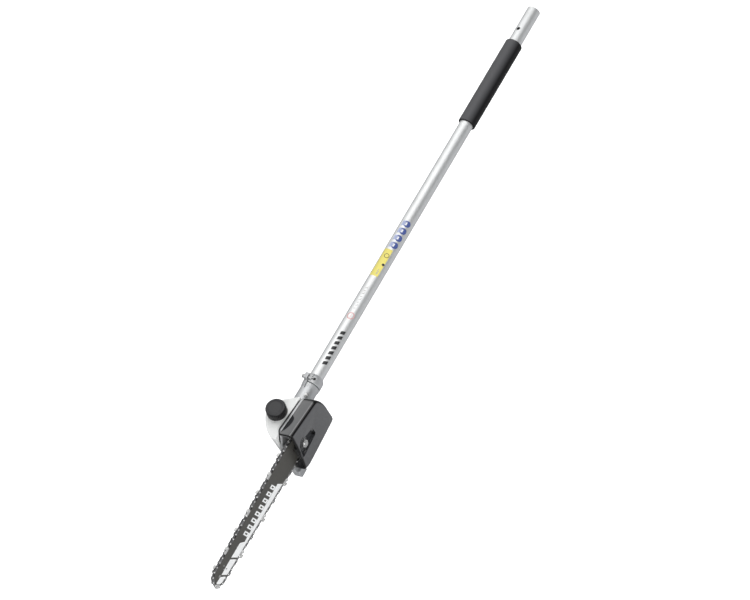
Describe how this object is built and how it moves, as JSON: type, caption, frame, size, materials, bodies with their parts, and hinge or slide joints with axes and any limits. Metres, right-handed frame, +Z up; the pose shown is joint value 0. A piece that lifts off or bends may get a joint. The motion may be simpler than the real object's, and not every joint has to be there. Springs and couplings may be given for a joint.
{
  "type": "pole saw attachment",
  "caption": "Pole saw attachment: straight aluminium pole with a foam grip sleeve, a geared saw head, oil tank, sprocket cover, guide bar and saw chain.",
  "frame": {"origin": "middle of the footprint of the whole attachment, at its lowest point", "axes": "+X along the pole from the saw head to the coupling end, +Z up with the bar's cutting edge down, the sprocket cover faces -Y"},
  "size_m": [1.2726, 0.0778, 0.1219],
  "materials": {
    "pole_aluminium": "smooth drawn tube",
    "cast_aluminium": "die cast, satin",
    "steel": "machined",
    "bright_steel": "plated",
    "foam_rubber": "closed-cell foam skin",
    "bar_paint": "satin dark paint",
    "chain_steel": "oiled steel with bright cutters",
    "black_gloss": "gloss moulding",
    "black_plastic": "satin moulding",
    "tank_plastic": "translucent white moulding",
    "seal_rubber": "black rubber",
    "nylon": "natural nylon",
    "bronze": "sintered bronze"
  },
  "bodies": {
    "head_and_pole": {"pole_tube": "pole_aluminium", "grip_sleeve": "foam_rubber", "shaft_bush_1": "nylon", "shaft_bush_2": "nylon", "shaft_bush_3": "nylon", "shaft_bush_4": "nylon", "input_bearing_1": "bright_steel", "input_bearing_2": "bright_steel", "bearing_spacer": "steel", "bearing_clip": "steel", "rear_bearing": "bright_steel", "front_bearing": "bright_steel", "output_seal": "seal_rubber", "pump_body": "bronze", "gear_case": "cast_aluminium", "gear_case_cap": "cast_aluminium", "cap_screw_1": "steel", "cap_screw_2": "steel", "cap_screw_3": "steel", "clamp_screw": "steel", "index_screw": "steel", "grease_plug": "steel", "oil_tank": "tank_plastic", "tank_gasket": "seal_rubber", "oil_filter": "bright_steel", "pickup_hose": "seal_rubber", "bar_stud": "bright_steel", "inner_bar_plate": "bright_steel"},
    "drive_shaft": {"drive_shaft": "steel", "shaft_end_fitting": "bright_steel", "bevel_pinion": "steel"},
    "output_shaft": {"output_shaft": "steel", "bevel_gear": "steel", "pump_worm": "steel", "drive_sprocket": "steel", "sprocket_washer": "bright_steel", "sprocket_clip": "steel"},
    "pump_plunger": {"pump_plunger": "steel"},
    "guide_bar": {"guide_bar": "bar_paint", "saw_chain": "chain_steel", "tensioner_block": "steel"},
    "nose_sprocket": {"nose_sprocket": "steel"},
    "tension_screw": {"tension_screw": "steel"},
    "sprocket_cover": {"sprocket_cover": "black_gloss"},
    "nut_washer": {"nut_washer": "bright_steel"},
    "bar_nut": {"bar_nut": "bright_steel"},
    "cap_seal": {"cap_seal": "seal_rubber"},
    "oil_cap": {"oil_cap": "black_plastic"}
  },
  "joints": [
    {"name": "drive_shaft_spin", "type": "hinge", "parent": "head_and_pole", "child": "drive_shaft", "pos_m": [-0.20767, 0.01615, 0.06], "axis": [1, 0, 0], "continuous": true},
    {"name": "sprocket_spin", "type": "hinge", "parent": "head_and_pole", "child": "output_shaft", "pos_m": [-0.29167, -0.00385, 0.06], "axis": [0, 1, 0], "continuous": true},
    {"name": "pump_spin", "type": "hinge", "parent": "head_and_pole", "child": "pump_plunger", "pos_m": [-0.29167, 0.00815, 0.0704], "axis": [1, 0, 0], "continuous": true},
    {"name": "bar_slide", "type": "slide", "parent": "head_and_pole", "child": "guide_bar", "axis": [1, 0, 0], "range_m": [0, 0.004]},
    {"name": "nose_sprocket_spin", "type": "hinge", "parent": "guide_bar", "child": "nose_sprocket", "pos_m": [-0.61367, -0.02185, 0.06], "axis": [0, 1, 0], "continuous": true},
    {"name": "tension_screw_turn", "type": "hinge", "parent": "head_and_pole", "child": "tension_screw", "pos_m": [-0.35767, -0.0156, 0.0495], "axis": [-1, 0, 0], "range_deg": [0, 1441]},
    {"name": "cover_off", "type": "slide", "parent": "head_and_pole", "child": "sprocket_cover", "axis": [0, -1, 0], "range_m": [0, 0.06]},
    {"name": "bar_nut_travel", "type": "slide", "parent": "sprocket_cover", "child": "nut_washer", "axis": [0, -1, 0], "range_m": [0, 0.01001]},
    {"name": "bar_nut_turn", "type": "hinge", "parent": "nut_washer", "child": "bar_nut", "pos_m": [-0.33567, -0.03385, 0.06], "axis": [0, -1, 0], "range_deg": [0, 2880]},
    {"name": "oil_cap_rise", "type": "slide", "parent": "head_and_pole", "child": "cap_seal", "axis": [0, -0.225, 0.9744], "range_m": [0, 0.01001]},
    {"name": "oil_cap_turn", "type": "hinge", "parent": "cap_seal", "child": "oil_cap", "pos_m": [-0.31167, 0.01615, 0.1005], "axis": [0, -0.225, 0.9744], "range_deg": [0, 900]}
  ],
  "couplings": [
    {"joint": "sprocket_spin", "follows": "drive_shaft_spin", "ratio": -0.75},
    {"joint": "pump_spin", "follows": "drive_shaft_spin", "ratio": 0.0625},
    {"joint": "nose_sprocket_spin", "follows": "drive_shaft_spin", "ratio": -0.5},
    {"joint": "tension_screw_turn", "follows": "bar_slide", "rad_per_m": 6283.2},
    {"joint": "bar_nut_travel", "follows": "bar_nut_turn", "m_per_rad": 0.00019894},
    {"joint": "oil_cap_rise", "follows": "oil_cap_turn", "m_per_rad": 0.00063662}
  ]
}
